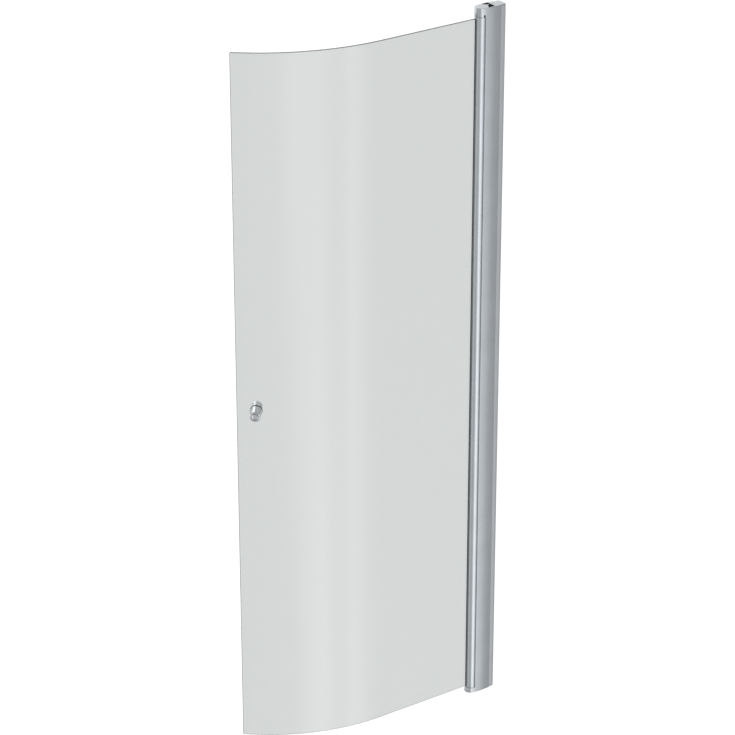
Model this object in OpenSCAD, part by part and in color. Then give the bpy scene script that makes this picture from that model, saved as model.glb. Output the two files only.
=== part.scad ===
// Curved pivot door for a quarter-round shower: a bent glass pane held by a round
// bar, which turns between two end caps in a fixed post on the wall.
// Frame: the wall is the plane x = 0 and the door runs to -X. The pivot line is at
// y = 0, the outside of the shower is -Y, and z = 0 is the lower end of the profiles.

/* [Height] */
// Height of the whole door
profile_height = 1945; // [1500:5:2200]
// Lower edge of the glass above the lower end of the door
glass_lift = 17; // [14:0.5:30]
// Upper edge of the glass below the top of the door
glass_drop = 29.5; // [22:0.5:60]

/* [Glass] */
// Thickness of the glass, whose outer face lies in line with the pivot
glass_t = 6; // [5:0.5:6]
// Radius of the outer face of the bent part
glass_radius = 520; // [400:5:700]
// Distance from the wall to where the bend begins
bend_start = 359; // [250:0.5:450]
// Angle that the bent part turns through
bend_angle = 42.2; // [30:0.1:60]

/* [Pivot bar] */
// Distance from the wall to the pivot line
pivot_from_wall = 65; // [64:0.5:70]
// Radius of the bar
bar_radius = 16; // [15.4:0.1:16.5]
// Wall of the bar
bar_wall = 2; // [1.6:0.1:2.4]
// Running gap between the bar and the post
bar_gap = 0.4; // [0.3:0.05:0.8]
// Floor of the glass slot, from the pivot line
slot_floor = 5.6; // [5.4:0.1:6.2]
// Thickness of the gasket outside the glass
outer_gasket_t = 5.5; // [4.5:0.1:6]
// Thickness of the gasket inside the glass
inner_gasket_t = 2; // [1.5:0.1:2.4]
// Thickness of the end plates of the bar
plate_t = 1.2; // [1:0.1:1.6]

/* [Pivots] */
// Radius of the pivot pins
pin_radius = 3.5; // [3:0.1:3.7]
// Length of each pin inside the bar
pin_grip = 30; // [20:1:60]
// Wall of the pivot bushes
bush_wall = 1.5; // [1.2:0.1:2]
// Thickness of the bush flanges
flange_t = 0.7; // [0.5:0.1:1]
// Radius of the bush flanges and of the thrust washer
flange_radius = 8; // [7:0.1:8.4]
// Thickness of the thrust washer
washer_t = 0.5; // [0.4:0.1:0.8]

/* [Post] */
// Radius of the convex faces of the post
face_radius = 180; // [150:5:260]
// Distance from the wall to the widest place of the post
face_mid = 38; // [35:0.5:40]
// Distance from the wall to the edge of the post
post_back = 15; // [12:0.5:16]
// Wall of the post
post_wall = 2; // [1.5:0.1:2.4]
// Wall of the socket that the bar turns in
socket_wall = 2.2; // [1.8:0.1:2.6]
// Distance from the pivot line to the tips of the lips beside the bar
lip = 3.5; // [3.5:0.1:5.5]
// Distance from the wall to the web of the post
web_from_wall = 31.4; // [31:0.1:33]
// Thickness of the web
web_t = 1.9; // [1.5:0.1:2.5]

/* [End caps] */
// Thickness of the plate of the end caps
cap_t = 3; // [2.5:0.1:4]
// Radius of the screws that hold the end caps
cap_screw_r = 2; // [1.6:0.1:2.2]
// Length of these screws
cap_screw_l = 22; // [16:1:40]
// Radius of the grub screw that locks the upper bush
lock_r = 2.4; // [1.8:0.1:2.6]

/* [Wall channel] */
// Width of the wall channel
channel_w = 30; // [29:0.1:30.4]
// Wall of the flanks of the channel
channel_wall = 1.8; // [1.5:0.1:2.2]
// Thickness of the base of the channel
channel_base = 2; // [1.5:0.1:3]
// How far the post can be pulled out to meet a wall that is not plumb
adjust_travel = 7; // [4:0.5:7]
// Radius of the wall screw holes
wall_hole_r = 2.75; // [2:0.05:3.5]
// Distance from the end of the door to the nearest wall screw hole
wall_hole_end = 100; // [60:5:160]
// Radius of the adjusting screws
adjust_screw_r = 2; // [1.5:0.1:2.2]
// Distance from the end of the door to the nearest adjusting screw
adjust_end = 200; // [180:5:300]
// Distance from the wall to the adjusting screws
adjust_from_wall = 21; // [20.5:0.1:21.2]

/* [Knob] */
// Length of each knob
knob_length = 30.5; // [20:0.5:40]
// Radius of the knob at the glass
knob_base_r = 16.3; // [12:0.1:17]
// Radius of the knob at its front
knob_front_r = 13.6; // [12.8:0.1:17]
// Radius of the recess in the front of the knob
recess_r = 9.6; // [6:0.1:10.4]
// Depth of the recess in the front of the knob
recess_depth = 2.4; // [1:0.1:4]
// Distance from the free edge of the glass to the knob
knob_from_edge = 49; // [40:1:90]
// Height of the knob above the lower edge of the glass
knob_height = 950; // [700:2:1200]
// Radius of the stud between the knobs
stud_r = 3; // [2.5:0.1:4]
// Thickness of the clear washers
knob_washer_t = 1; // [0.6:0.1:2]

/* [Hidden] */
$fn = 96;

// Clearances and small sizes that several pieces share
seat = 0.1;            // between a piece and the seat it is fixed in
running = 0.05;        // radial clearance of pins and screws
eps = 1;               // how far a cut reaches past a face
big = 60;              // wider than the section of the post
pad_t = 0.5;           // pad under the glass
end_play = 0.6;        // room for the door to be lifted

// Pivot and bar
px = -pivot_from_wall;
socket_r = bar_radius + bar_gap;
glass_out = 0;
glass_in = glass_t;
slot_out = glass_out - outer_gasket_t;
slot_in = glass_in + inner_gasket_t;
edge_gap = 0.7;        // between the edge of the glass and the floor of its slot
port_r = pin_radius + 1.7;
boss_r = 3.2;
boss_dist = bar_radius - bar_wall - 1.8;
boss_angle = 48;
plate_screw_r = 1.75;
plate_screw_l = 12;
plate_head_r = 2.8;

// Heights, from the bottom up
glass_z = glass_lift;
glass_top = profile_height - glass_drop;
glass_height = glass_top - glass_z;
bar_z = glass_z - pad_t;
plate_z = bar_z - plate_t;
washer_z = plate_z - washer_t;
bottom_nose = washer_z - flange_t;
bar_over = 4;          // how far the bar stands above the glass
bar_top = glass_top + bar_over;
top_nose = bar_top + plate_t + end_play + flange_t;
post_top = profile_height - cap_t;
bush_floor = 1;        // solid ground under the bottom pin
top_bush_h = profile_height - top_nose - 4;
pin_end = 1;           // between the end of a pin and the end of its bush
bush_r = pin_radius + running + bush_wall;

// Post: the face arcs are tangent to the round of the bar
apex = face_radius - sqrt(pow(face_radius - bar_radius, 2) - pow(pivot_from_wall - face_mid, 2));
tangent_x = px - bar_radius * (pivot_from_wall - face_mid) / (face_radius - bar_radius);
channel_half = channel_w / 2;
channel_gap = 0.15;
room_half = channel_half + channel_gap;
flank_end = web_from_wall - 0.3;
cap_gap = 0.3;         // between the end caps and the channel or the wall
taper_l = 6;           // rounded-off edge of the channel at the wall
taper_d = 0.8;
seal_w = 2.4;
seal_depth = 1;
seal_gap = 0.3;
seal_angle = acos(lip / socket_r) - 14;   // past the thin tip of the lip

// Screws; the ports that hold the cap screws run along the whole post
cap_ports = [[px + socket_r + socket_wall + 1.8, 2.8], [-web_from_wall + 2.6, 0]];
port_wall = 1.8;
lug_r = cap_screw_r + port_wall + 0.8;
lock_l = bar_radius - bush_r - 0.8;
cap_head_r = cap_screw_r + 1.6;
adjust_n = 4;
adjust_head_r = 3.7;
adjust_head_t = 2.4;
adjust_face = apex - pow(adjust_from_wall - face_mid, 2) / 2 / face_radius - 0.4;
cap_r = 5;
cap_wall = 0.9;
cap_h = adjust_head_t + cap_wall + 0.3;
nut_t = 2.5;
nut_w = 10;
nut_h = 14;
wall_hole_n = 4;

// Knob
knob_z = glass_z + knob_height;
knob_angle = bend_angle - knob_from_edge / glass_radius * 180 / PI;
mid_radius = glass_radius - glass_t / 2;
knob_round = 2.8;
recess_slope = 2.8;     // width of the slope between the rim and the floor of the recess
stud_grip = 14;
sleeve_r = stud_r + 3;
washer_r = knob_base_r - 2;
// a flat washer clears the hollow face of the glass at its rim
washer_z0 = glass_t / 2 + washer_r * washer_r / 2 / (glass_radius - glass_t) + 0.05;
knob_z0 = washer_z0 + knob_washer_t;
grub_r = 2;
grub_l = 6;

// Heights of n holes spread evenly, the outer ones at this distance from the ends
function spread(n, end) = [for (i = [0:n - 1]) end + i * (profile_height - 2 * end) / (n - 1)];

// The outline between the two convex faces, drawn in by inset
module face_outline(inset = 0)
    intersection_for (side = [-1, 1])
        translate([-face_mid, side * (face_radius - apex)]) circle(face_radius - inset, $fn = 720);

module at_pivot() translate([px, 0]) children();

// A radial strip of a ring round the pivot
module ring_strip(angle, width, r0, r1)
    intersection() {
        difference() {
            circle(r1);
            circle(r0);
        }
        rotate(angle) translate([0, -width / 2]) square([r1 + eps, width]);
    }

module seal_shape(width, r0)
    for (side = [-1, 1])
        ring_strip(side * seal_angle, width, r0, socket_r + seal_depth);

// The open chamber between the socket and the web, past the screw port
module chamber(port = cap_screw_r + port_wall)
    difference() {
        intersection() {
            face_outline(post_wall);
            translate([px + lip + post_wall, -big])
                square([pivot_from_wall - lip - post_wall - web_from_wall - web_t, 2 * big]);
        }
        at_pivot() circle(socket_r + socket_wall);
        translate(cap_ports[0]) circle(port);
    }

module post_section()
    difference() {
        union() {
            difference() {
                intersection() {
                    face_outline();
                    translate([px + lip, -big]) square([pivot_from_wall - lip - post_back, 2 * big]);
                }
                // room for the wall channel
                translate([-web_from_wall, -room_half]) square([web_from_wall + eps, 2 * room_half]);
            }
            translate(cap_ports[1]) circle(cap_screw_r + port_wall);
        }
        at_pivot() circle(socket_r);
        at_pivot() seal_shape(seal_w, socket_r - eps);
        chamber();
        for (port = cap_ports) translate(port) circle(cap_screw_r + running);
    }

module post()
    color("#A9ADB2")
        difference() {
            translate([0, 0, cap_t]) linear_extrude(post_top - cap_t) post_section();
            for (z = spread(adjust_n, adjust_end)) {
                translate([-adjust_from_wall, channel_half / 2, z]) rotate([-90, 0, 0])
                    cylinder(r = adjust_screw_r + seat, h = big);
                translate([-adjust_from_wall, adjust_face, z]) rotate([-90, 0, 0])
                    cylinder(r = cap_r + seat, h = big);
            }
        }

module wall_channel()
    color("#B4B8BC")
        difference() {
            translate([0, 0, cap_t + cap_gap])
                linear_extrude(profile_height - 2 * (cap_t + cap_gap))
                    difference() {
                        polygon([[-flank_end, -channel_half], [-taper_l, -channel_half],
                            [0, taper_d - channel_half], [0, channel_half - taper_d],
                            [-taper_l, channel_half], [-flank_end, channel_half]]);
                        translate([-flank_end - eps, channel_wall - channel_half])
                            square([flank_end + eps - channel_base, channel_w - 2 * channel_wall]);
                    }
            for (z = spread(wall_hole_n, wall_hole_end))
                translate([-channel_base - eps, 0, z]) rotate([0, 90, 0])
                    cylinder(r = wall_hole_r, h = channel_base + 2 * eps);
            // slots that let the adjusting screws travel with the post
            for (z = spread(adjust_n, adjust_end)) {
                for (x = [0, -adjust_travel])
                    translate([x - adjust_from_wall, 0, z]) rotate([-90, 0, 0])
                        cylinder(r = adjust_screw_r + 2 * seat, h = big);
                translate([-adjust_from_wall - adjust_travel, 0, z - adjust_screw_r - 2 * seat])
                    cube([adjust_travel, big, 2 * (adjust_screw_r + 2 * seat)]);
            }
        }

module lip_seals()
    color("#2C2E30")
        translate([px, 0, bottom_nose + flange_t])
            linear_extrude(top_nose - bottom_nose - 2 * flange_t)
                seal_shape(seal_w - seat, bar_radius + seal_gap);

// Outline of the nose of the end caps, which fills the socket and continues the bar
module nose_section()
    union() {
        at_pivot() circle(bar_radius);
        intersection() {
            at_pivot() circle(socket_r - seat);
            translate([px + lip / 2, -big]) square(2 * big);
        }
        intersection() {
            face_outline();
            translate([tangent_x, -big]) square([px + lip - seat - tangent_x, 2 * big]);
        }
    }

// Outline of the plate of the end caps, which is open over the chamber of the post
module plate_section(inset = 0)
    difference() {
        union() {
            at_pivot() circle(bar_radius - inset);
            intersection() {
                face_outline(inset);
                translate([tangent_x, -big]) square([-post_back - tangent_x, 2 * big]);
            }
            polygon([for (p = [[-post_back - eps, 0], [-taper_l, 0], [-cap_gap, taper_d]])
                    [p[0], inset + p[1] - channel_half],
                for (p = [[-cap_gap, taper_d], [-taper_l, 0], [-post_back - eps, 0]])
                    [p[0], channel_half - p[1] - inset]]);
        }
        chamber(lug_r);
    }

// The end cap on the lower end, with its plate at z = 0; the bush flange lies sunk in its nose
module cap_body(nose, bush_z) {
    step_d = 0.6;
    difference() {
        union() {
            linear_extrude(nose + flange_t - seat) nose_section();
            linear_extrude(step_d + 0.1) plate_section(step_d);
            translate([0, 0, step_d]) linear_extrude(cap_t - step_d) plate_section();
        }
        translate([px, 0, bush_z]) cylinder(r = bush_r + running, h = nose);
        translate([px, 0, nose]) cylinder(r = flange_radius + seat, h = flange_t);
        for (port = cap_ports) translate([port[0], port[1], -eps]) {
            cylinder(r = cap_screw_r + seat, h = cap_t + 2 * eps);
            cylinder(r = cap_head_r + running, h = eps + 0.4);
            translate([0, 0, eps + 0.4])
                cylinder(r1 = cap_head_r + running, r2 = cap_screw_r + running, h = 1.8);
        }
    }
}

module bottom_cap()
    color("#A4A8AD") cap_body(bottom_nose, bush_floor);

module top_cap()
    color("#A4A8AD")
        difference() {
            translate([0, 0, profile_height]) mirror([0, 0, 1])
                cap_body(profile_height - top_nose, profile_height - top_nose - top_bush_h);
            at_lock() cylinder(r = lock_r + running, h = big);
        }

// The axis of the grub screw that locks the upper bush, with z pointing out of the door
module at_lock()
    translate([px, -bush_r, top_nose + lock_r]) rotate([90, 0, 0]) children();

module lock_screw()
    color("#3A3C3E")
        at_lock()
            difference() {
                translate([0, 0, seat]) cylinder(r = lock_r, h = lock_l);
                translate([0, 0, lock_l - 1.6]) cylinder(r = 1.3, h = 2, $fn = 6);
            }

// The two screws of the lower end cap, from their heads up
module cap_screw_pair()
    for (port = cap_ports) translate(port)
        difference() {
            union() {
                translate([0, 0, 0.1]) cylinder(r = cap_head_r, h = 0.3);
                translate([0, 0, 0.4]) cylinder(r1 = cap_head_r, r2 = cap_screw_r, h = 1.8 - 0.2);
                translate([0, 0, 0.4]) cylinder(r = cap_screw_r, h = cap_screw_l - 0.4);
            }
            translate([0, 0, -eps]) cylinder(r = 1.3, h = eps + 1.6, $fn = 6);
        }

module cap_screws()
    color("#C8CACC") {
        cap_screw_pair();
        translate([0, 0, profile_height]) mirror([0, 0, 1]) cap_screw_pair();
    }

// A flanged bush, standing on its flange
module bush(h)
    difference() {
        union() {
            cylinder(r = flange_radius, h = flange_t);
            cylinder(r = bush_r, h = h + flange_t);
        }
        translate([0, 0, -eps]) cylinder(r = pin_radius + running, h = h + flange_t + 2 * eps);
    }

module bottom_bush()
    color("#E6E6E2")
        translate([px, 0, bottom_nose + flange_t]) mirror([0, 0, 1])
            bush(bottom_nose - bush_floor - seat);

module top_bush()
    color("#E6E6E2")
        translate([px, 0, top_nose - flange_t]) bush(top_bush_h - seat);

module thrust_washer()
    color("#C8CACC")
        translate([px, 0, washer_z])
            difference() {
                cylinder(r = flange_radius, h = washer_t);
                translate([0, 0, -eps]) cylinder(r = pin_radius + running, h = washer_t + 2 * eps);
            }

// Places a piece on the axis of each adjusting screw, with z pointing out of the post
module at_adjusters()
    for (z = spread(adjust_n, adjust_end))
        translate([-adjust_from_wall, adjust_face, z]) rotate([-90, 0, 0]) children();

module adjust_screws()
    color("#C8CACC")
        at_adjusters() {
            length = adjust_face - channel_half + channel_wall + nut_t + 1;
            translate([0, 0, -length]) cylinder(r = adjust_screw_r, h = length);
            difference() {
                cylinder(r = adjust_head_r, h = adjust_head_t);
                translate([0, 0, adjust_head_t - 1.4]) cylinder(r = 1.6, h = 2, $fn = 6);
            }
        }

module nut_plates()
    color("#C8CACC")
        at_adjusters()
            translate([0, 0, channel_half - channel_wall - seat - nut_t - adjust_face])
                difference() {
                    translate([-nut_w / 2, -nut_h / 2, 0]) cube([nut_w, nut_h, nut_t]);
                    translate([0, 0, -eps]) cylinder(r = adjust_screw_r + running, h = nut_t + 2 * eps);
                }

module screw_caps()
    color("#B9BCC0")
        at_adjusters()
            difference() {
                union() {
                    cylinder(r = cap_r, h = cap_h - 0.8);
                    translate([0, 0, cap_h - 0.8]) cylinder(r1 = cap_r, r2 = cap_r - 0.8, h = 0.8);
                }
                translate([0, 0, -eps]) cylinder(r = cap_r - cap_wall, h = cap_h - cap_wall + eps);
            }

module at_bosses()
    for (side = [-1, 1])
        rotate(side * boss_angle) translate([boss_dist, 0]) children();

module slot_shape(grow = 0)
    translate([-bar_radius - eps, slot_out - grow])
        square([bar_radius + eps - slot_floor + grow, slot_in - slot_out + 2 * grow]);

module bar_section()
    difference() {
        circle(bar_radius);
        slot_shape();
        difference() {
            circle(bar_radius - bar_wall);
            slot_shape(bar_wall);
            circle(port_r);
            at_bosses() circle(boss_r);
            translate([0, -bar_wall / 2]) square([bar_radius, bar_wall]);
        }
        circle(pin_radius + running);
        at_bosses() circle(plate_screw_r + running);
    }

module pivot_bar()
    color("#AEB2B7")
        translate([px, 0, bar_z]) linear_extrude(bar_top - bar_z) bar_section();

// End plate of the bar, with its countersinks on top
module bar_plate()
    difference() {
        cylinder(r = bar_radius, h = plate_t);
        translate([0, 0, -eps]) cylinder(r = pin_radius + running, h = plate_t + 2 * eps);
        at_bosses() {
            translate([0, 0, -eps]) cylinder(r = plate_screw_r + running, h = plate_t + 2 * eps);
            cylinder(r1 = plate_screw_r + running, r2 = plate_head_r + running, h = plate_t);
        }
    }

// The upper plate has a lug that closes the slot above the glass
module bar_top_plate()
    color("#9DA1A6")
        translate([px, 0, bar_top]) {
            bar_plate();
            translate([0, 0, seat - bar_over])
                linear_extrude(bar_over - seat)
                    intersection() {
                        circle(bar_radius);
                        slot_shape(-seat);
                    }
        }

module bar_bottom_plate()
    color("#9DA1A6") translate([px, 0, bar_z]) mirror([0, 0, 1]) bar_plate();

// The screws of one end plate, in the plate's own place
module plate_screw_pair()
    at_bosses()
        difference() {
            union() {
                translate([0, 0, -plate_screw_l]) cylinder(r = plate_screw_r, h = plate_screw_l);
                cylinder(r1 = plate_screw_r, r2 = plate_head_r, h = plate_t);
            }
            translate([0, 0, plate_t - 0.9]) cylinder(r = 1.2, h = 2, $fn = 6);
        }

module plate_screws()
    color("#C8CACC") {
        translate([px, 0, bar_top]) plate_screw_pair();
        translate([px, 0, bar_z]) mirror([0, 0, 1]) plate_screw_pair();
    }

// A pin with a chamfer at both ends
module pin(z0, z1) {
    chamfer = 0.6;
    translate([px, 0, z0]) {
        cylinder(r1 = pin_radius - chamfer, r2 = pin_radius, h = chamfer);
        translate([0, 0, chamfer]) cylinder(r = pin_radius, h = z1 - z0 - 2 * chamfer);
        translate([0, 0, z1 - z0 - chamfer])
            cylinder(r1 = pin_radius, r2 = pin_radius - chamfer, h = chamfer);
    }
}

module bottom_pin()
    color("#C8CACC") pin(bush_floor + seat, bar_z + pin_grip);

module top_pin()
    color("#C8CACC") pin(bar_top - pin_grip, top_nose + top_bush_h - pin_end);

// The wedge that the bend of the glass sweeps through
module bend_wedge() {
    reach = 2 * glass_radius;
    polygon([[0, 0], [0, -reach], [-reach * tan(bend_angle / 2), -reach],
        [-reach * sin(bend_angle), -reach * cos(bend_angle)]]);
}

module glass_section()
    union() {
        translate([-bend_start, glass_out])
            square([bend_start + px - slot_floor - edge_gap, glass_t]);
        translate([-bend_start, glass_out + glass_radius])
            intersection() {
                difference() {
                    circle(glass_radius, $fn = 720);
                    circle(glass_radius - glass_t, $fn = 720);
                }
                bend_wedge();
            }
    }

// Turns a piece so that z points out of the glass at the knob, from its middle
module at_knob()
    translate([-bend_start - mid_radius * sin(knob_angle),
        glass_out + glass_radius - mid_radius * cos(knob_angle), knob_z])
        rotate([0, 0, -knob_angle]) rotate([90, 0, 0]) children();

module glass()
    color("#BFD0CC", 0.35)
        difference() {
            translate([0, 0, glass_z]) linear_extrude(glass_height) glass_section();
            at_knob() cylinder(r = sleeve_r + seat, h = 4 * glass_t, center = true);
        }

module gasket(y0, y1)
    translate([0, 0, glass_z]) linear_extrude(glass_height)
        intersection() {
            at_pivot() circle(bar_radius);
            translate([px - bar_radius, y0]) square([bar_radius - slot_floor, y1 - y0]);
        }

module outer_gasket()
    color("#2C2E30") gasket(slot_out, glass_out);

module inner_gasket()
    color("#2C2E30") gasket(glass_in, slot_in);

module glass_pad()
    color("#2C2E30")
        translate([0, 0, bar_z]) linear_extrude(pad_t)
            intersection() {
                at_pivot() circle(bar_radius - seat);
                translate([px - bar_radius, slot_out + seat])
                    square([bar_radius - slot_floor - seat, slot_in - slot_out - 2 * seat]);
            }

// Outline of a knob from its axis, z from its foot: rounded front with a sloping recess
module knob_outline() {
    round_c = [knob_front_r - knob_round, knob_length - knob_round];
    polygon(concat(
        [[0, 0], [knob_base_r - 0.6, 0], [knob_base_r, 0.6]],
        [for (a = [0:15:90]) round_c + knob_round * [cos(a), sin(a)]],
        [[recess_r + 0.3, knob_length], [recess_r, knob_length - 0.1],
            [recess_r - recess_slope, knob_length - recess_depth], [0, knob_length - recess_depth]]));
}

module knob_body()
    translate([0, 0, knob_z0])
        difference() {
            rotate_extrude() knob_outline();
            translate([0, 0, -eps]) cylinder(r = stud_r + running, h = stud_grip + seat + eps);
        }

module knob_outer()
    color("#C6C9CC") at_knob() knob_body();

// Places a piece in the thread of the grub screw, which points down out of the inner knob
module at_grub()
    translate([0, 0, -knob_z0 - stud_grip / 2]) rotate([90, 0, 0]) children();

module knob_inner()
    color("#C6C9CC")
        at_knob()
            difference() {
                mirror([0, 0, 1]) knob_body();
                at_grub() cylinder(r = grub_r + running, h = knob_base_r + eps);
            }

module knob_grub()
    color("#55585B")
        at_knob() at_grub()
            translate([0, 0, stud_r + seat])
                difference() {
                    cylinder(r = grub_r, h = grub_l);
                    translate([0, 0, grub_l - 1.5]) cylinder(r = 1, h = 2, $fn = 6);
                }

module knob_stud()
    color("#C8CACC")
        at_knob()
            cylinder(r = stud_r, h = 2 * (knob_z0 + stud_grip), center = true);

module knob_sleeve()
    color("#E8ECEA", 0.6)
        at_knob()
            difference() {
                cylinder(r = sleeve_r, h = glass_t, center = true);
                cylinder(r = stud_r + running, h = glass_t + 2 * eps, center = true);
            }

module knob_washers()
    color("#E8ECEA", 0.6)
        at_knob()
            for (side = [0, 1])
                mirror([0, 0, side]) translate([0, 0, washer_z0])
                    difference() {
                        cylinder(r = washer_r, h = knob_washer_t);
                        translate([0, 0, -eps]) cylinder(r = stud_r + running, h = knob_washer_t + 2 * eps);
                    }

wall_channel();
post();
lip_seals();
top_cap();
bottom_cap();
cap_screws();
lock_screw();
top_bush();
bottom_bush();
thrust_washer();
adjust_screws();
nut_plates();
screw_caps();
pivot_bar();
bar_top_plate();
bar_bottom_plate();
plate_screws();
top_pin();
bottom_pin();
glass();
outer_gasket();
inner_gasket();
glass_pad();
knob_outer();
knob_inner();
knob_stud();
knob_sleeve();
knob_washers();
knob_grub();
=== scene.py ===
"""Looks for the curved pivot shower door: a bent clear pane in a silver bar and post, with a double knob."""
import math

import bmesh
import bpy
from mathutils import Matrix, Vector


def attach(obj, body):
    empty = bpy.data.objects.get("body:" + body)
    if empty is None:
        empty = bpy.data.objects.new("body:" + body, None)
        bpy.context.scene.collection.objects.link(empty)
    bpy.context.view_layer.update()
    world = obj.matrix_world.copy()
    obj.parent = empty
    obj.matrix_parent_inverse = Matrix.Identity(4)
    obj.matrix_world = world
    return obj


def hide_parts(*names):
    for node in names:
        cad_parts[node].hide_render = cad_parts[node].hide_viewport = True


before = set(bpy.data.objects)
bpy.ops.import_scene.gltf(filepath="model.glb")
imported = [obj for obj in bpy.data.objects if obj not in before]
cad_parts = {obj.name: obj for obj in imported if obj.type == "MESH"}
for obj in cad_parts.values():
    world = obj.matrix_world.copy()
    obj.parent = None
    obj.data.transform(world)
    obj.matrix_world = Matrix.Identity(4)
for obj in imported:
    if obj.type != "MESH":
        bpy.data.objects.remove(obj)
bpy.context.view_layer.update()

# Sizes of the CAD part, in millimetres: the wall is at x = 0, the door reaches out to negative x,
# y runs inwards and z up
MM = 0.001
QUARTER_TURN = math.pi / 2
HEIGHT = 1945                       # whole door
SEAT_GAP = 0.1                      # between a piece and the seat it is fixed in

PIVOT_X = -65                       # pivot line, on y = 0
BAR_R = 16
BAR_GAP = 0.4                       # between the bar and its socket in the post
BAR_Z = (16.5, 1919.5)
SLOT_X = -70.6                      # floor of the glass slot
OUTER_GASKET, INNER_GASKET = 5.5, 2  # width of the strips on both sides of the glass
GASKET_SWELL = 0.55                 # how far the backs of these strips sink in
PLATE_T = 1.2                       # end plates of the bar
BOSS_DIST = 12.2                    # their screws, from the pivot line
BOSS_ANGLE = math.radians(48)       # their screws, on both sides of the line to the wall

GLASS_Z = (17, 1915.5)
GLASS_T = 6                         # the outer face lies on y = 0
GLASS_START = -71.3                 # edge of the pane inside the bar
GLASS_HOLE_R = 6.1                  # hole for the stud between the knobs
ARRIS = 0.6                         # polished bevel along the edges of the pane
BAR_CORNER_R, FREE_CORNER_R = 0.8, 1.8  # corners of the pane in the bar and at the free edge
BEND_START = -359
BEND_R = 520                        # outer face
BEND_ANGLE = math.radians(42.2)
BEND_STRIPS = 48
STRAIGHT = GLASS_START - BEND_START
PANE_LENGTH = STRAIGHT + BEND_R * BEND_ANGLE
PANE_HEIGHT = GLASS_Z[1] - GLASS_Z[0]

FACE_R, FACE_MID = 180, 38          # convex faces of the post, and their highest line from the wall
APEX = FACE_R - math.sqrt((FACE_R - BAR_R) ** 2 - (-PIVOT_X - FACE_MID) ** 2)
TANGENT_X = PIVOT_X - BAR_R * (-PIVOT_X - FACE_MID) / (FACE_R - BAR_R)
BACK_X = 15                         # back edge of the post, from the wall
POST_WALL = 2
LIP = 3.5                           # tips of the post's lips, from the pivot line
SOCKET_WALL_R = 18.6                # outside of the socket's wall
WEB_X = 33.3                        # chamber side of the post's web, from the wall
LUG, LUG_R = (-44.6, 2.8), 4.6      # screw lug beside the socket
WEB_PORT = (-28.8, 0)               # the other end cap screw
CHANNEL_HALF, CHANNEL_WALL = 15, 1.8  # half the width of the wall channel, and its wall

CAP_T = 3                           # plate of the end caps
CAP_ROUND = 0.7                     # its rounded outer edge
CAP_BEVEL = 0.2                     # its edge on the post, and the rim round the bush
CAP_PROUD = 0.5                     # how far the caps stand out past the bar
CAP_GAP = 0.3                       # between the caps and the wall
TAPER, TAPER_L = 0.8, 6             # how much the caps narrow at the wall, and over what length
CHAMBER_BEVEL = 0.35                # round the opening over the chamber
SEAT_R, SEAT_BEVEL = 3.65, 0.25     # recesses of the end cap screws
SEAT_RIM, SEAT_DEPTH = 0.45, 2.2    # straight part of a recess, and its whole depth
CAP_HOLE_R = 2.05
LOWER_NOSE, UPPER_NOSE = 14.7, 23.6  # with the rims round the bush flanges
NOSE_ROUND = 0.4
NOSE_OVERLAP = 0.05                 # how far a nose starts inside the plate
FLANGE_R, FLANGE_SEAT = 8.1, 0.6    # recess of the bush flange
BUSH_HOLE_R = 5.1
LOCK_Z, LOCK_HOLE_R = 1924.4, 2.5   # hole of the upper bush's grub screw
LOCK_BEVEL = 0.3                    # round its mouth, which is 1 mm deep

ADJUST_COUNT = 4
ADJUST_X = 21                       # adjusting screws, from the wall
ADJUST_END = 200                    # the outer ones, from the ends of the door
ADJUST_SINK = 0.4                   # flat spot under their heads
ADJUST_FACE = APEX - (ADJUST_X - FACE_MID) ** 2 / 2 / FACE_R - ADJUST_SINK
NUT_T, NUT_HOLE_R, NUT_BEVEL = 2.5, 2.05, 0.3
THREAD_PITCH, THREAD_DEPTH = 0.8, 0.28
DRIVER_BEVEL = 0.15                 # round the driver sockets of the screws

KNOB_Z = 967
KNOB_EDGE = 49                      # knob from the free edge
KNOB_ALONG = PANE_LENGTH - KNOB_EDGE
KNOB_FOOT = 4.249                   # foot of a knob, from the middle of the pane
KNOB_LENGTH = 30.5
KNOB_HEEL = 0.3                     # rounding of the foot
KNOB_BASE_R, KNOB_FRONT_R = 16.3, 13.6
KNOB_WAIST = 0.35                   # how far the taper between them sinks in
KNOB_RIM = 2.8                      # rounding of the front rim
KNOB_DISH_R, KNOB_DISH = 9.6, 2.4   # recess in the front
KNOB_SLOPE = 4.0                    # width of the hollow round its floor
KNOB_STEPS = 12                     # of the taper and of the hollow
STUD_HOLE_R, STUD_HOLE_DEPTH = 3.1, 14
GRUB_HOLE_R, GRUB_UP = 2.1, 7       # grub screw hole of the inner knob, and its height over the foot
GRUB_REACH = (3.6, 40)              # from beside the stud to well outside the knob


# Colour and node helpers
def linear(hex_colour):
    """sRGB hex to the linear values that shaders take."""
    part = [int(hex_colour[i:i + 2], 16) / 255 for i in (1, 3, 5)]
    return [c / 12.92 if c <= 0.04045 else ((c + 0.055) / 1.055) ** 2.4 for c in part] + [1.0]


def add(tree, kind, links=None, values=None, **settings):
    """Adds a node with its settings, input values and incoming links."""
    node = tree.nodes.new(kind)
    for name, value in settings.items():
        setattr(node, name, value)
    for name, value in (values or {}).items():
        node.inputs[name].default_value = value
    for name, source in (links or {}).items():
        tree.links.new(source, node.inputs[name])
    return node


def new_material(name):
    """An empty material, its tree and its output node."""
    material = bpy.data.materials.new(name)
    material.use_nodes = True
    material.node_tree.nodes.clear()
    return material, material.node_tree, add(material.node_tree, "ShaderNodeOutputMaterial")


def finish_material(tree, output, shader):
    """Makes a shader the surface of its material."""
    tree.links.new(shader.outputs[0], output.inputs["Surface"])


# Materials, whose patterns are given in marks to the millimetre: 2.5 / MM is a grain of 0.4 mm
NOISE = {"From Min": 0.3, "From Max": 0.7}  # most of a noise lies between these values


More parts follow.
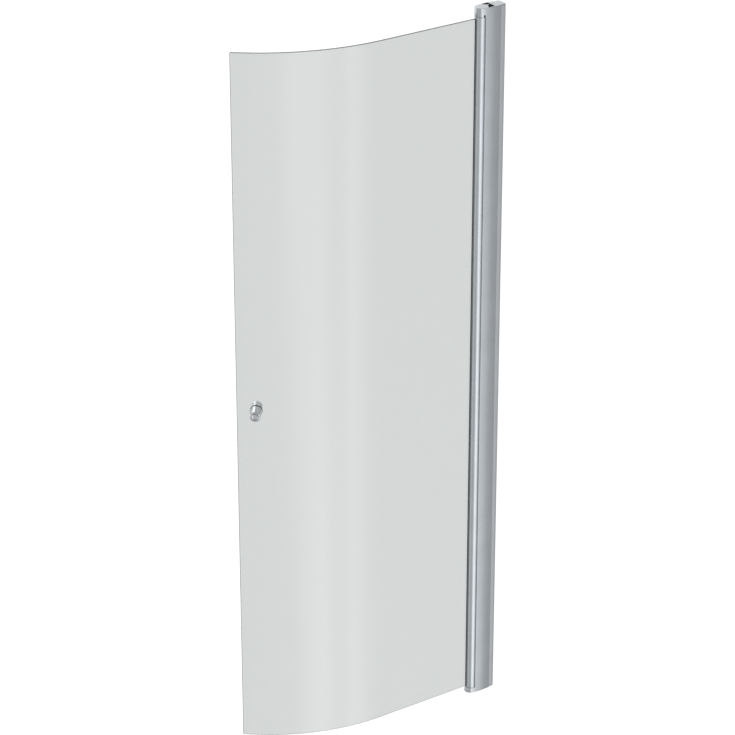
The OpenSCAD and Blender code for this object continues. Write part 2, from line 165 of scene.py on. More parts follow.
def anodised_aluminium(name, hex_colour, roughness):
    """Extruded aluminium, bright silver anodised: fine die lines run along the length,
    so highlights stay crisp across them and the surface looks satin, not mirror-like."""
    material, tree, output = new_material(name)
    place = add(tree, "ShaderNodeTexCoord").outputs["Object"]
    # die lines every 1.2 mm or so (real ones are finer), drawn out over 400 times along Z
    stretch = add(tree, "ShaderNodeMapping", {"Vector": place}, {"Scale": (0.85 / MM, 0.85 / MM, 0.002 / MM)})
    lines = add(tree, "ShaderNodeTexNoise", {"Vector": stretch.outputs[0]},
                {"Scale": 1.0, "Detail": 3.0, "Roughness": 0.6})
    # cloudy patches of about 60 mm, as the anodising bath leaves
    cloud = add(tree, "ShaderNodeTexNoise", {"Vector": place}, {"Scale": 0.016 / MM, "Detail": 2.0})
    rough = add(tree, "ShaderNodeMapRange", {"Value": lines.outputs["Fac"]},
                {**NOISE, "To Min": roughness - 0.03, "To Max": roughness + 0.05})
    tone = add(tree, "ShaderNodeMapRange", {"Value": cloud.outputs["Fac"]},
               {**NOISE, "To Min": 0.97, "To Max": 1.03})
    base = add(tree, "ShaderNodeVectorMath", {1: tone.outputs[0]},
               {0: linear(hex_colour)[:3]}, operation="MULTIPLY")
    bump = add(tree, "ShaderNodeBump", {"Height": lines.outputs["Fac"]},
               {"Strength": 0.05, "Distance": 0.1 * MM})
    metal = add(tree, "ShaderNodeBsdfPrincipled",
                {"Base Color": base.outputs[0], "Roughness": rough.outputs[0], "Normal": bump.outputs[0]},
                {"Metallic": 1.0})
    finish_material(tree, output, metal)
    return material


def satin_casting(name, hex_colour, roughness):
    """Die-cast zinc with a satin silver finish: a very fine, even grain, slightly cloudy."""
    material, tree, output = new_material(name)
    place = add(tree, "ShaderNodeTexCoord").outputs["Object"]
    grain = add(tree, "ShaderNodeTexNoise", {"Vector": place}, {"Scale": 2.5 / MM, "Detail": 2.0})
    cloud = add(tree, "ShaderNodeTexNoise", {"Vector": place}, {"Scale": 0.09 / MM, "Detail": 3.0})
    rough = add(tree, "ShaderNodeMapRange", {"Value": cloud.outputs["Fac"]},
                {**NOISE, "To Min": roughness - 0.04, "To Max": roughness + 0.04})
    bump = add(tree, "ShaderNodeBump", {"Height": grain.outputs["Fac"]},
               {"Strength": 0.08, "Distance": 0.05 * MM})
    metal = add(tree, "ShaderNodeBsdfPrincipled",
                {"Roughness": rough.outputs[0], "Normal": bump.outputs[0]},
                {"Base Color": linear(hex_colour), "Metallic": 1.0})
    finish_material(tree, output, metal)
    return material


def polished_chrome(name, hex_colour, roughness):
    """Turned brass, chrome plated and polished: mirror-like, with a trace of handling haze."""
    material, tree, output = new_material(name)
    place = add(tree, "ShaderNodeTexCoord").outputs["Object"]
    haze = add(tree, "ShaderNodeTexNoise", {"Vector": place}, {"Scale": 0.12 / MM, "Detail": 4.0})
    rough = add(tree, "ShaderNodeMapRange", {"Value": haze.outputs["Fac"]},
                {"From Min": 0.3, "From Max": 0.75, "To Min": roughness, "To Max": roughness + 0.06})
    metal = add(tree, "ShaderNodeBsdfPrincipled", {"Roughness": rough.outputs[0]},
                {"Base Color": linear(hex_colour), "Metallic": 1.0})
    finish_material(tree, output, metal)
    return material


def turned_steel(name, hex_colour, roughness):
    """Stainless steel fasteners and pins: grey, finely turned, a little duller than the plating."""
    material, tree, output = new_material(name)
    place = add(tree, "ShaderNodeTexCoord").outputs["Object"]
    marks = add(tree, "ShaderNodeTexNoise", {"Vector": place}, {"Scale": 3 / MM, "Detail": 1.0})
    rough = add(tree, "ShaderNodeMapRange", {"Value": marks.outputs["Fac"]},
                {**NOISE, "To Min": roughness - 0.05, "To Max": roughness + 0.08})
    metal = add(tree, "ShaderNodeBsdfPrincipled", {"Roughness": rough.outputs[0]},
                {"Base Color": linear(hex_colour), "Metallic": 1.0})
    finish_material(tree, output, metal)
    return material


def moulded_plastic(name, hex_colour, roughness, clear=0.0):
    """Injection-moulded plastic: even colour, a faint spark-eroded grain and a soft sheen.
    A milky one lets part of the light through."""
    material, tree, output = new_material(name)
    place = add(tree, "ShaderNodeTexCoord").outputs["Object"]
    eroded = add(tree, "ShaderNodeTexNoise", {"Vector": place}, {"Scale": 1.8 / MM, "Detail": 2.0})
    rough = add(tree, "ShaderNodeMapRange", {"Value": eroded.outputs["Fac"]},
                {**NOISE, "To Min": roughness - 0.04, "To Max": roughness + 0.06})
    bump = add(tree, "ShaderNodeBump", {"Height": eroded.outputs["Fac"]},
               {"Strength": 0.1, "Distance": 0.05 * MM})
    plastic = add(tree, "ShaderNodeBsdfPrincipled",
                  {"Roughness": rough.outputs[0], "Normal": bump.outputs[0]},
                  {"Base Color": linear(hex_colour), "IOR": 1.46, "Transmission Weight": clear})
    finish_material(tree, output, plastic)
    return material


def extruded_rubber(name, hex_colour, roughness):
    """Extruded EPDM gasket rubber: dark, matt, with faint drag lines along its length."""
    material, tree, output = new_material(name)
    place = add(tree, "ShaderNodeTexCoord").outputs["Object"]
    stretch = add(tree, "ShaderNodeMapping", {"Vector": place}, {"Scale": (1.5 / MM, 1.5 / MM, 0.008 / MM)})
    drag = add(tree, "ShaderNodeTexNoise", {"Vector": stretch.outputs[0]}, {"Scale": 1.0, "Detail": 2.0})
    bump = add(tree, "ShaderNodeBump", {"Height": drag.outputs["Fac"]},
               {"Strength": 0.15, "Distance": 0.1 * MM})
    rough = add(tree, "ShaderNodeMapRange", {"Value": drag.outputs["Fac"]},
                {**NOISE, "To Min": roughness - 0.06, "To Max": roughness + 0.06})
    rubber = add(tree, "ShaderNodeBsdfPrincipled",
                 {"Roughness": rough.outputs[0], "Normal": bump.outputs[0]},
                 {"Base Color": linear(hex_colour), "IOR": 1.5})
    finish_material(tree, output, rubber)
    return material


def clear_glass(name, hex_colour, roughness=0.0):
    """Float glass, or a plastic as clear: what is seen through it is a little greyer. The ground and
    polished edges of the pane get a darker one: partly their own tint, as light crosses the whole width, and
    partly painted shade."""
    material, tree, output = new_material(name)
    glass = add(tree, "ShaderNodeBsdfPrincipled", None,
                {"Base Color": linear(hex_colour), "Roughness": roughness, "IOR": 1.52,
                 "Transmission Weight": 1.0, "Specular IOR Level": 0.3})
    finish_material(tree, output, glass)
    return material


PROFILE = anodised_aluminium("anodised_aluminium", "#B7BCC0", 0.27)
# the wall channel gets a lighter copy of the same anodised aluminium: painted light, making up for the shade
# of its recess beside the post
CHANNEL = anodised_aluminium("anodised_aluminium_painted_lighter", "#BFC3C7", 0.3)
CASTING = satin_casting("satin_zinc_casting", "#B3B7BA", 0.3)
CHROME = polished_chrome("polished_chrome", "#C1C3C6", 0.06)
STEEL = turned_steel("stainless_steel", "#A9ABAD", 0.3)
DARK_STEEL = turned_steel("blackened_steel", "#4A4D50", 0.4)
CAP_PLASTIC = moulded_plastic("silver_grey_plastic", "#B4B7BA", 0.35)
ACETAL = moulded_plastic("white_acetal", "#E4E3DE", 0.45)
RUBBER = extruded_rubber("dark_grey_rubber", "#707477", 0.6)
GLASS = clear_glass("toughened_glass", "#CBCECD")
# darker glass for the cut edges: partly its own tint through the width, partly painted shade
GLASS_EDGE_TINT_AND_SHADE = clear_glass("glass_edge_tint_and_painted_shade", "#5E6462", 0.12)
CLEAR = clear_glass("clear_plastic", "#F2F4F3")
MILKY = moulded_plastic("milky_clear_plastic", "#F1F2F1", 0.45, 0.35)

NODE_MATERIALS = {
    "wall_channel": CHANNEL, "post": PROFILE, "pivot_bar": PROFILE,
    "top_cap": CASTING, "bottom_cap": CASTING, "bar_top_plate": CASTING, "bar_bottom_plate": CASTING,
    "cap_screws": STEEL, "plate_screws": STEEL, "adjust_screws": STEEL, "nut_plates": STEEL,
    "thrust_washer": STEEL, "top_pin": STEEL, "bottom_pin": STEEL, "knob_stud": STEEL,
    "knob_grub": DARK_STEEL, "lock_screw": DARK_STEEL, "knob_outer": CHROME, "knob_inner": CHROME,
    "screw_caps": CAP_PLASTIC, "top_bush": ACETAL, "bottom_bush": ACETAL,
    "lip_seals": RUBBER, "outer_gasket": RUBBER, "inner_gasket": RUBBER, "glass_pad": RUBBER,
    "glass": GLASS, "knob_sleeve": CLEAR, "knob_washers": MILKY,
}
for name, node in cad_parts.items():
    node.data.materials.clear()
    node.data.materials.append(NODE_MATERIALS[name])


# Shapes in millimetres
def ring(radius, z, count, centre=(0, 0)):
    """A level circle of points."""
    return [(centre[0] + radius * math.cos(math.tau * i / count),
             centre[1] + radius * math.sin(math.tau * i / count), z) for i in range(count)]


def level(points, z):
    """A flat outline, set at a height."""
    return [(x, y, z) for x, y in points]


def add_wall(shape, loops):
    """Joins equal loops of points into a wall and returns the edges of its first and last loop."""
    rows = [[shape.verts.new(point) for point in loop] for loop in loops]
    for low, high in zip(rows, rows[1:]):
        for i in range(len(low)):
            j = (i + 1) % len(low)
            shape.faces.new((low[i], low[j], high[j], high[i]))
    return [[shape.edges.get((row[i], row[i - 1])) for i in range(len(row))] for row in (rows[0], rows[-1])]


def add_solid(shape, outer, holes=(), sockets=()):
    """A closed solid in an outer wall, with holes from end to end and sockets sunk in its first end."""
    first, last = add_wall(shape, outer)
    for loops in holes:
        ends = add_wall(shape, loops)
        first, last = first + ends[0], last + ends[1]
    for loops in sockets:
        ends = add_wall(shape, loops)
        first = first + ends[0]
        bmesh.ops.triangle_fill(shape, edges=ends[1], use_beauty=True)
    bmesh.ops.triangle_fill(shape, edges=first, use_beauty=True)
    bmesh.ops.triangle_fill(shape, edges=last, use_beauty=True)


def in_metres(name, shape):
    """The mesh of a shape, which is used up."""
    shape.transform(Matrix.Scale(MM, 4))
    mesh = bpy.data.meshes.new(name)
    shape.to_mesh(mesh)
    shape.free()
    return mesh


def finish_mesh(name, shape, degrees=32):
    """The mesh of a shape, with faces outwards and smooth shading, but crisp edges past this angle."""
    bmesh.ops.recalc_face_normals(shape, faces=shape.faces)
    for face in shape.faces:
        face.smooth = True
    for edge in shape.edges:
        if len(edge.link_faces) == 2:
            edge.smooth = edge.calc_face_angle(0) < math.radians(degrees)
    return in_metres(name, shape)


def refinished(name, mesh, degrees):
    """Shades a mesh anew that a tree or a modifier has changed."""
    shape = bmesh.new()
    shape.from_mesh(mesh)
    shape.transform(Matrix.Scale(1 / MM, 4))
    return finish_mesh(name, shape, degrees)


# Objects and pieces
def put(name, data):
    """A new object in the scene."""
    obj = bpy.data.objects.new(name, data)
    bpy.context.scene.collection.objects.link(obj)
    return obj


def applied(obj):
    """The plain mesh that comes out of an object's modifiers. The object itself is removed."""
    mesh = bpy.data.meshes.new_from_object(obj.evaluated_get(bpy.context.evaluated_depsgraph_get()))
    obj.modifiers.clear()
    bpy.data.objects.remove(obj)
    return mesh


def piece(name, mesh, material, body, node):
    """Puts a finished mesh into the scene as a piece that rides on a body and stands for a CAD node."""
    if material:
        mesh.materials.clear()
        mesh.materials.append(material)
    obj = put(name, mesh)
    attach(obj, body)
    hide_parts(node)


def carved(name, mesh, cutter, degrees=38):
    """A mesh with the cutter's shape taken out of it."""
    body, tool = put(name, mesh), put(name + "_cutter", cutter)
    cut = body.modifiers.new("cut", "BOOLEAN")
    cut.object, cut.operation, cut.solver = tool, "DIFFERENCE", "EXACT"
    rest = applied(body)
    bpy.data.objects.remove(tool)
    return refinished(name, rest, degrees)


def softened(node, width):
    """A copy of a CAD node whose sharp edges are rounded a little, as sawn and deburred metal is."""
    shape = bmesh.new()
    shape.from_mesh(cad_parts[node].data)
    bmesh.ops.remove_doubles(shape, verts=shape.verts, dist=1e-6)
    bmesh.ops.dissolve_limit(shape, angle_limit=math.radians(0.3), verts=shape.verts, edges=shape.edges)
    sharp = [edge for edge in shape.edges
             if len(edge.link_faces) == 2 and edge.calc_face_angle(0) > math.radians(35)]
    bmesh.ops.bevel(shape, geom=sharp, offset=width * MM, segments=2, profile=0.6, affect="EDGES",
                    clamp_overlap=True)
    shape.transform(Matrix.Scale(1 / MM, 4))
    soft = put(node + "_softened", finish_mesh(node + "_softened", shape))
    # shading that follows the large faces, so the small rounded edges don't pull it askew
    shading = soft.modifiers.new("shading", "WEIGHTED_NORMAL")
    shading.weight, shading.keep_sharp = 100, True
    return applied(soft)


# Geometry Nodes
SOCKETS = {"Geometry": "NodeSocketGeometry", "Length": "NodeSocketFloat", "Count": "NodeSocketInt",
           "Vector": "NodeSocketVector", "Material": "NodeSocketMaterial"}


def new_tree(name, **inputs):
    """An empty geometry tree with one named input for each size, and its input and output nodes."""
    tree = bpy.data.node_groups.new(name, "GeometryNodeTree")
    for label, kind in inputs.items():
        tree.interface.new_socket(label, in_out="INPUT", socket_type=SOCKETS[kind])
    tree.interface.new_socket("Geometry", in_out="OUTPUT", socket_type="NodeSocketGeometry")
    return tree, add(tree, "NodeGroupInput").outputs, add(tree, "NodeGroupOutput")


def close_tree(tree, result, geometry, finish, chosen=None):
    """Ends a tree in real geometry with its material, on all faces or on the chosen ones."""
    real = add(tree, "GeometryNodeRealizeInstances", {"Geometry": geometry})
    painted = add(tree, "GeometryNodeSetMaterial", {"Geometry": real.outputs[0], "Material": finish})
    if chosen:
        tree.links.new(chosen, painted.inputs["Selection"])
    tree.links.new(painted.outputs[0], result.inputs["Geometry"])


def grow(name, tree, start, **values):
    """Runs a tree on a start mesh with these sizes and returns the plain mesh that comes out."""
    carrier = put(name, start)
    modifier = carrier.modifiers.new(name, "NODES")
    modifier.node_group = tree
    for socket in tree.interface.items_tree:
        if socket.in_out == "INPUT" and socket.name in values:
            modifier[socket.identifier] = values[socket.name]
    grown = applied(carrier)
    grown.name = name
    return grown


# Bends a flat pane: the part past the straight length follows an arc. In the flat pane x
# runs along the glass from the bar, y goes inwards from the outer face, and z is up.
bend_pane, given, result = new_tree("bend_pane", Geometry="Geometry", Start="Length", Straight="Length",
                                    Radius="Length", Finish="Material", Edge="Material")
position = add(bend_pane, "GeometryNodeInputPosition").outputs[0]
flat = add(bend_pane, "ShaderNodeSeparateXYZ", {0: position})
past = add(bend_pane, "ShaderNodeMath", {0: flat.outputs["X"], 1: given["Straight"]}, operation="SUBTRACT")
bent = add(bend_pane, "ShaderNodeMath", {0: past.outputs[0]}, {1: 0.0}, operation="MAXIMUM")
before = add(bend_pane, "ShaderNodeMath", {0: flat.outputs["X"], 1: given["Straight"]}, operation="MINIMUM")
angle = add(bend_pane, "ShaderNodeMath", {0: bent.outputs[0], 1: given["Radius"]}, operation="DIVIDE")
sine = add(bend_pane, "ShaderNodeMath", {0: angle.outputs[0]}, operation="SINE")
cosine = add(bend_pane, "ShaderNodeMath", {0: angle.outputs[0]}, operation="COSINE")
arm = add(bend_pane, "ShaderNodeMath", {0: given["Radius"], 1: flat.outputs["Y"]}, operation="SUBTRACT")
along = add(bend_pane, "ShaderNodeMath", {0: arm.outputs[0], 1: sine.outputs[0], 2: before.outputs[0]},
            operation="MULTIPLY_ADD")
out_x = add(bend_pane, "ShaderNodeMath", {0: given["Start"], 1: along.outputs[0]}, operation="SUBTRACT")
across = add(bend_pane, "ShaderNodeMath", {0: arm.outputs[0], 1: cosine.outputs[0]}, operation="MULTIPLY")
out_y = add(bend_pane, "ShaderNodeMath", {0: given["Radius"], 1: across.outputs[0]}, operation="SUBTRACT")
place = add(bend_pane, "ShaderNodeCombineXYZ",
            {"X": out_x.outputs[0], "Y": out_y.outputs[0], "Z": flat.outputs["Z"]})
bowed = add(bend_pane, "GeometryNodeSetPosition",
            {"Geometry": given["Geometry"], "Position": place.outputs[0]})
# x now runs the other way, so the faces are turned outwards again
turned = add(bend_pane, "GeometryNodeFlipFaces", {"Mesh": bowed.outputs[0]})
sheet = add(bend_pane, "GeometryNodeSetMaterial",
            {"Geometry": turned.outputs[0], "Material": given["Finish"]})
# the cut edges that show get the darker edge glass, partly painted shade: they are the faces marked so on the
# flat pane
marked = add(bend_pane, "GeometryNodeInputNamedAttribute", None, {"Name": "shaded_cut_edge"}, data_type="BOOLEAN")
close_tree(bend_pane, result, sheet.outputs[0], given["Edge"], marked.outputs[0])

# Sets equal fasteners in a row: the start mesh is one of them, on its own axis z
fastener_row, given, result = new_tree("fastener_row", Geometry="Geometry", Number="Count", First="Vector",
                                       Step="Vector", Turn="Vector", Finish="Material")
places = add(fastener_row, "GeometryNodeMeshLine",
             {"Count": given["Number"], "Start Location": given["First"], "Offset": given["Step"]})
facing = add(fastener_row, "FunctionNodeEulerToRotation", {0: given["Turn"]})
row = add(fastener_row, "GeometryNodeInstanceOnPoints",
          {"Points": places.outputs[0], "Instance": given["Geometry"], "Rotation": facing.outputs[0]})
close_tree(fastener_row, result, row.outputs[0], given["Finish"])

# Pulls a flat section up into a straight extruded strip: the start mesh is the section
extruded_strip, given, result = new_tree("extruded_strip", Geometry="Geometry", Bottom="Length",
                                         Height="Length", Finish="Material")
low = add(extruded_strip, "ShaderNodeCombineXYZ", {"Z": given["Bottom"]})
foot = add(extruded_strip, "GeometryNodeTransform",
           {"Geometry": given["Geometry"], "Translation": low.outputs[0]})
rise = add(extruded_strip, "ShaderNodeCombineXYZ", {"Z": given["Height"]})
pulled = add(extruded_strip, "GeometryNodeExtrudeMesh", {"Mesh": foot.outputs[0], "Offset": rise.outputs[0]},
             {"Offset Scale": 1.0, "Individual": False})
under = add(extruded_strip, "GeometryNodeFlipFaces", {"Mesh": foot.outputs[0]})
both = add(extruded_strip, "GeometryNodeJoinGeometry")
extruded_strip.links.new(pulled.outputs[0], both.inputs[0])
extruded_strip.links.new(under.outputs[0], both.inputs[0])
welded = add(extruded_strip, "GeometryNodeMergeByDistance", {"Geometry": both.outputs[0]}, {"Distance": 1e-6})
close_tree(extruded_strip, result, welded.outputs[0], given["Finish"])


# Glass
def pane_outline(inset, y):
    """The flat pane seen from outside, with larger corners at the free edge."""
    points = []
    for x, z, radius, start in ((0, 0, BAR_CORNER_R, 180), (PANE_LENGTH, 0, FREE_CORNER_R, 270),
                                (PANE_LENGTH, PANE_HEIGHT, FREE_CORNER_R, 0),
                                (0, PANE_HEIGHT, BAR_CORNER_R, 90)):
        centre_x = x + (radius if x == 0 else -radius)
        centre_z = z + (radius if z == 0 else -radius) + GLASS_Z[0]
        for degrees in range(start, start + 91, 15):
            a = math.radians(degrees)
            points.append((centre_x + (radius - inset) * math.cos(a), y,
                           centre_z + (radius - inset) * math.sin(a)))
    return points


def hole_outline(radius, y):
    """The hole of the knobs in the flat pane."""
    return [(KNOB_ALONG + x, y, KNOB_Z + z) for x, z, _ in ring(radius, 0, 48)]


shape = bmesh.new()
bevelled = [(ARRIS, 0), (0, ARRIS), (0, GLASS_T - ARRIS), (ARRIS, GLASS_T)]
add_solid(shape, [pane_outline(inset, y) for inset, y in bevelled],
          holes=[[hole_outline(GLASS_HOLE_R + inset, y) for inset, y in bevelled]])
# the part that bends is cut into strips
for i in range(BEND_STRIPS):
    cut_x = STRAIGHT + (PANE_LENGTH - STRAIGHT) * i / BEND_STRIPS
    bmesh.ops.bisect_plane(shape, geom=shape.verts[:] + shape.edges[:] + shape.faces[:], dist=1e-5,
                           plane_co=(cut_x, 0, 0), plane_no=(1, 0, 0))
flat_pane = finish_mesh("flat_pane", shape)
# a cut edge is any face but the outer and the inner one, and the lower edge stays clear as they are, because
# it catches the floor's light: the dark on the others is partly painted shade
shown = [abs(face.normal.y) < 0.9 and face.normal.z > -0.5 for face in flat_pane.polygons]
flat_pane.attributes.new("shaded_cut_edge", "BOOLEAN", "FACE").data.foreach_set("value", shown)
pane = grow("glass_pane", bend_pane, flat_pane, Start=GLASS_START * MM, Straight=STRAIGHT * MM,
            Radius=BEND_R * MM, Finish=GLASS, Edge=GLASS_EDGE_TINT_AND_SHADE)
piece("glass_pane", pane, None, "door", "glass")


# End caps
def meet(c0, r0, c1, r1, side):
    """Where two circles meet, on the side given by the sign."""
    gap = math.dist(c0, c1)
    reach = (gap * gap + r0 * r0 - r1 * r1) / (2 * gap)
    half = side * math.sqrt(r0 * r0 - reach * reach)
    ux, uy = (c1[0] - c0[0]) / gap, (c1[1] - c0[1]) / gap
    return c0[0] + ux * reach - uy * half, c0[1] + uy * reach + ux * half


def arc(centre, radius, start, end, steps, clockwise=False):
    """Points of an arc between two points on it."""
    a0 = math.atan2(start[1] - centre[1], start[0] - centre[0])
    a1 = math.atan2(end[1] - centre[1], end[0] - centre[0])
    span = (a0 - a1) % math.tau if clockwise else (a1 - a0) % math.tau
    turn = -1 if clockwise else 1
    return [(centre[0] + radius * math.cos(a0 + turn * span * i / steps),
             centre[1] + radius * math.sin(a0 + turn * span * i / steps)) for i in range(steps + 1)]


def face_centre(side):
    """Centre of the convex face on that side of the post."""
    return -FACE_MID, side * (APEX - FACE_R)


def face_y(x, inset):
    """y of the inner face of the post, or of a line this far inside it."""
    return APEX - FACE_R + math.sqrt((FACE_R - inset) ** 2 - (x + FACE_MID) ** 2)


def plate_outline(inset):
    """Outline of the caps' plate, anticlockwise from its back on the inner side."""
    back_y, touch_y = face_y(-BACK_X, inset), face_y(TANGENT_X, inset)
    inner = arc(face_centre(1), FACE_R - inset, (-BACK_X, back_y), (TANGENT_X, touch_y), 24)
    front = arc((PIVOT_X - CAP_PROUD, 0), BAR_R - inset, (TANGENT_X, touch_y), (TANGENT_X, -touch_y), 40)
    outer = arc(face_centre(-1), FACE_R - inset, (TANGENT_X, -touch_y), (-BACK_X, -back_y), 24)
    half = CHANNEL_HALF - inset
    tail = [(-BACK_X, half), (-TAPER_L, half), (-CAP_GAP, half - TAPER)]
    return inner[:-1] + front[:-1] + outer + [(x, -y) for x, y in tail] + tail[::-1]


def chamber_outline(grow_by):
    """Outline of the opening over the chamber of the post, past the lug of the screw."""
    pivot, web = (PIVOT_X, 0), -WEB_X + grow_by
    inner, socket, lug = FACE_R - POST_WALL + grow_by, SOCKET_WALL_R - grow_by, LUG_R - grow_by
    top = meet(pivot, socket, face_centre(1), inner, 1)
    bottom = (top[0], -top[1])
    lug_top, lug_bottom = [meet(pivot, socket, LUG, lug, side) for side in (1, -1)]
    corner_y = face_y(web, POST_WALL - grow_by)
    return (arc(face_centre(-1), inner, bottom, (web, -corner_y), 10)
            + arc(face_centre(1), inner, (web, corner_y), top, 10)
            + arc(pivot, socket, top, lug_top, 10, clockwise=True)[1:]
            + arc(LUG, lug, lug_top, lug_bottom, 20, clockwise=True)[1:]
            + arc(pivot, socket, lug_bottom, bottom, 10, clockwise=True)[1:-1])


def nose_outline(inset):
    """Outline of the nose, which goes on as the bar outside and fills the socket inside."""
    lip_x = PIVOT_X + LIP - SEAT_GAP
    lip_y = face_y(lip_x, inset)
    inner = BAR_R + BAR_GAP - SEAT_GAP - inset
    step_y = math.sqrt(inner ** 2 - (lip_x - PIVOT_X) ** 2)
    touch_y = face_y(TANGENT_X, inset)
    front = arc((PIVOT_X - CAP_PROUD, 0), BAR_R - inset, (TANGENT_X, touch_y), (TANGENT_X, -touch_y), 40)
    return (arc((PIVOT_X, 0), inner, (lip_x, -step_y), (lip_x, step_y), 40)
            + arc(face_centre(1), FACE_R - inset, (lip_x, lip_y), (TANGENT_X, touch_y), 4)[:-1]
            + front[:-1]
            + arc(face_centre(-1), FACE_R - inset, (TANGENT_X, -touch_y), (lip_x, -lip_y), 4))


def end_cap(name, nose, lift):
    """A cap as on the lower end of the door, its plate from z = 0 and its nose up to its height.
    The upper one is turned over and lifted."""
    rounding = [(CAP_ROUND * (1 - math.sin(math.radians(a))), CAP_ROUND * (1 - math.cos(math.radians(a))))
                for a in range(0, 91, 15)]
    plate = [level(plate_outline(inset), z)
             for inset, z in rounding + [(0, CAP_T - CAP_BEVEL), (CAP_BEVEL, CAP_T)]]
    chamber = [level(chamber_outline(bevel), z)
               for bevel, z in ((CHAMBER_BEVEL, 0), (0, CHAMBER_BEVEL), (0, CAP_T))]
    screw_seat = [(SEAT_R + SEAT_BEVEL, 0), (SEAT_R, SEAT_BEVEL), (SEAT_R, SEAT_RIM),
                  (CAP_HOLE_R, SEAT_DEPTH), (CAP_HOLE_R, CAP_T)]
    shape = bmesh.new()
    add_solid(shape, plate, holes=[chamber] + [[ring(r, z, 40, port) for r, z in screw_seat]
                                               for port in (LUG, WEB_PORT)])
    nose_wall = [(NOSE_ROUND, nose), (NOSE_ROUND / 4, nose - NOSE_ROUND / 4), (0, nose - NOSE_ROUND),
                 (0, CAP_T - NOSE_OVERLAP)]
    bush_seat = [(FLANGE_R + CAP_BEVEL, nose), (FLANGE_R, nose - CAP_BEVEL), (FLANGE_R, nose - FLANGE_SEAT),
                 (BUSH_HOLE_R, nose - FLANGE_SEAT), (BUSH_HOLE_R, CAP_T)]
    add_solid(shape, [level(nose_outline(inset), z) for inset, z in nose_wall],
              sockets=[[ring(r, z, 40, (PIVOT_X, 0)) for r, z in bush_seat]])
    if lift:
        shape.transform(Matrix.Translation((0, 0, lift)) @ Matrix.Scale(-1, 4, (0, 0, 1)))
    return finish_mesh(name, shape, 40)


# a grub screw locks the upper bush, in a hole from outside the nose to the hole of the bush
lock_hole = bmesh.new()
add_solid(lock_hole, [ring(LOCK_HOLE_R + LOCK_BEVEL, BAR_R + 0.6, 40), ring(LOCK_HOLE_R, BAR_R - 0.4, 40),
                      ring(LOCK_HOLE_R, BUSH_HOLE_R + SEAT_GAP, 40)])
lock_hole.transform(Matrix.Translation((PIVOT_X, 0, LOCK_Z)) @ Matrix.Rotation(QUARTER_TURN, 4, "X"))
lower_cap = end_cap("lower_end_cap", LOWER_NOSE, 0)
upper_cap = carved("upper_end_cap", end_cap("upper_end_cap_blank", UPPER_NOSE, HEIGHT),
                   finish_mesh("lock_hole", lock_hole), 40)
piece("lower_end_cap", lower_cap, CASTING, "post_side", "bottom_cap")
piece("upper_end_cap", upper_cap, CASTING, "post_side", "top_cap")


# Rubber strips
def bar_x(y):
    """x of the bar's surface on the side of the glass."""
    return PIVOT_X - math.sqrt(BAR_R ** 2 - y * y)


def gasket_section(bar_y, glass_y):
    """From the floor of the slot to the bar's surface, with a rounded back that swells into
    a soft lip where it presses on the glass."""
    edge_x = bar_x(bar_y)
    lip_x = bar_x(glass_y)
    swell = [(edge_x + (lip_x - edge_x) * t - GASKET_SWELL * math.sin(math.pi * t ** 1.6),
              bar_y + (glass_y - bar_y) * t)
             for t in (0.06, 0.18, 0.3, 0.42, 0.54, 0.66, 0.78, 0.88, 0.95)]
    return [(SLOT_X, bar_y), (edge_x + 0.3, bar_y)] + swell + [(lip_x + 0.2, glass_y), (SLOT_X, glass_y)]


def strip(name, points):
    """A rubber strip of this section, as high as the glass."""
    shape = bmesh.new()
    face = shape.faces.new([shape.verts.new(point) for point in level(points, 0)])
    face.normal_update()
    if face.normal.z < 0:
        bmesh.ops.reverse_faces(shape, faces=[face])
    pulled_up = grow(name, extruded_strip, in_metres("section", shape), Bottom=GLASS_Z[0] * MM,
                     Height=PANE_HEIGHT * MM, Finish=RUBBER)
    return refinished(name, pulled_up, 40)


outer_strip = strip("outer_glazing_strip", gasket_section(-OUTER_GASKET, 0))
inner_strip = strip("inner_glazing_strip", gasket_section(GLASS_T + INNER_GASKET, GLASS_T))
piece("outer_glazing_strip", outer_strip, RUBBER, "door", "outer_gasket")
piece("inner_glazing_strip", inner_strip, RUBBER, "door", "inner_gasket")


# Fasteners
def screw(name, profile, socket_r, socket_depth):
    """A screw turned from radius and height pairs, its head first, with a six-sided driver socket."""
    top = profile[0][1]
    inwards = 1 if profile[1][1] > top else -1
    driver_socket = [(socket_r + DRIVER_BEVEL, top), (socket_r, top + inwards * DRIVER_BEVEL),
                     (socket_r, top + inwards * socket_depth)]
    shape = bmesh.new()
    add_solid(shape, [ring(r, z, 48) for r, z in profile],
              sockets=[[ring(r, z, 6) for r, z in driver_socket]])
    return finish_mesh(name, shape, 38)


def countersunk(name, head_r, screw_r, sink, length, socket_r):
    """A countersunk screw with its head's face at z = 0 and its tip up, with rounded rims. Its threads
    are rings, twice as coarse as real ones."""
    profile = [(head_r - 0.15, 0), (head_r, 0.12), (head_r, 0.3), (screw_r, sink)]
    z = sink + 1.5
    while z < length - 1.6:
        profile += [(screw_r, z), (screw_r - THREAD_DEPTH, z + THREAD_PITCH / 2)]
        z += THREAD_PITCH
    return screw(name, profile + [(screw_r, z), (screw_r - 0.5, length - 0.4), (screw_r - 0.7, length)],
                 socket_r, 1.5)


def row_of(name, fastener, number, first, step, turn, finish):
    """A row of equal fasteners, as one mesh."""
    return grow(name, fastener_row, fastener, Number=number, First=[v * MM for v in first],
                Step=[v * MM for v in step], Turn=turn, Finish=finish)


def in_both_ends(name, fastener, first, step, low, high):
    """Two screws in the lower end of the door and two in the upper one, turned over, as one mesh."""
    shape = bmesh.new()
    for height, turn in ((low, 0.0), (high, math.pi)):
        shape.from_mesh(row_of(name, fastener, 2, (*first, height), step, (turn, 0, 0), STEEL))
    mesh = bpy.data.meshes.new(name)
    shape.to_mesh(mesh)
    shape.free()
    return mesh


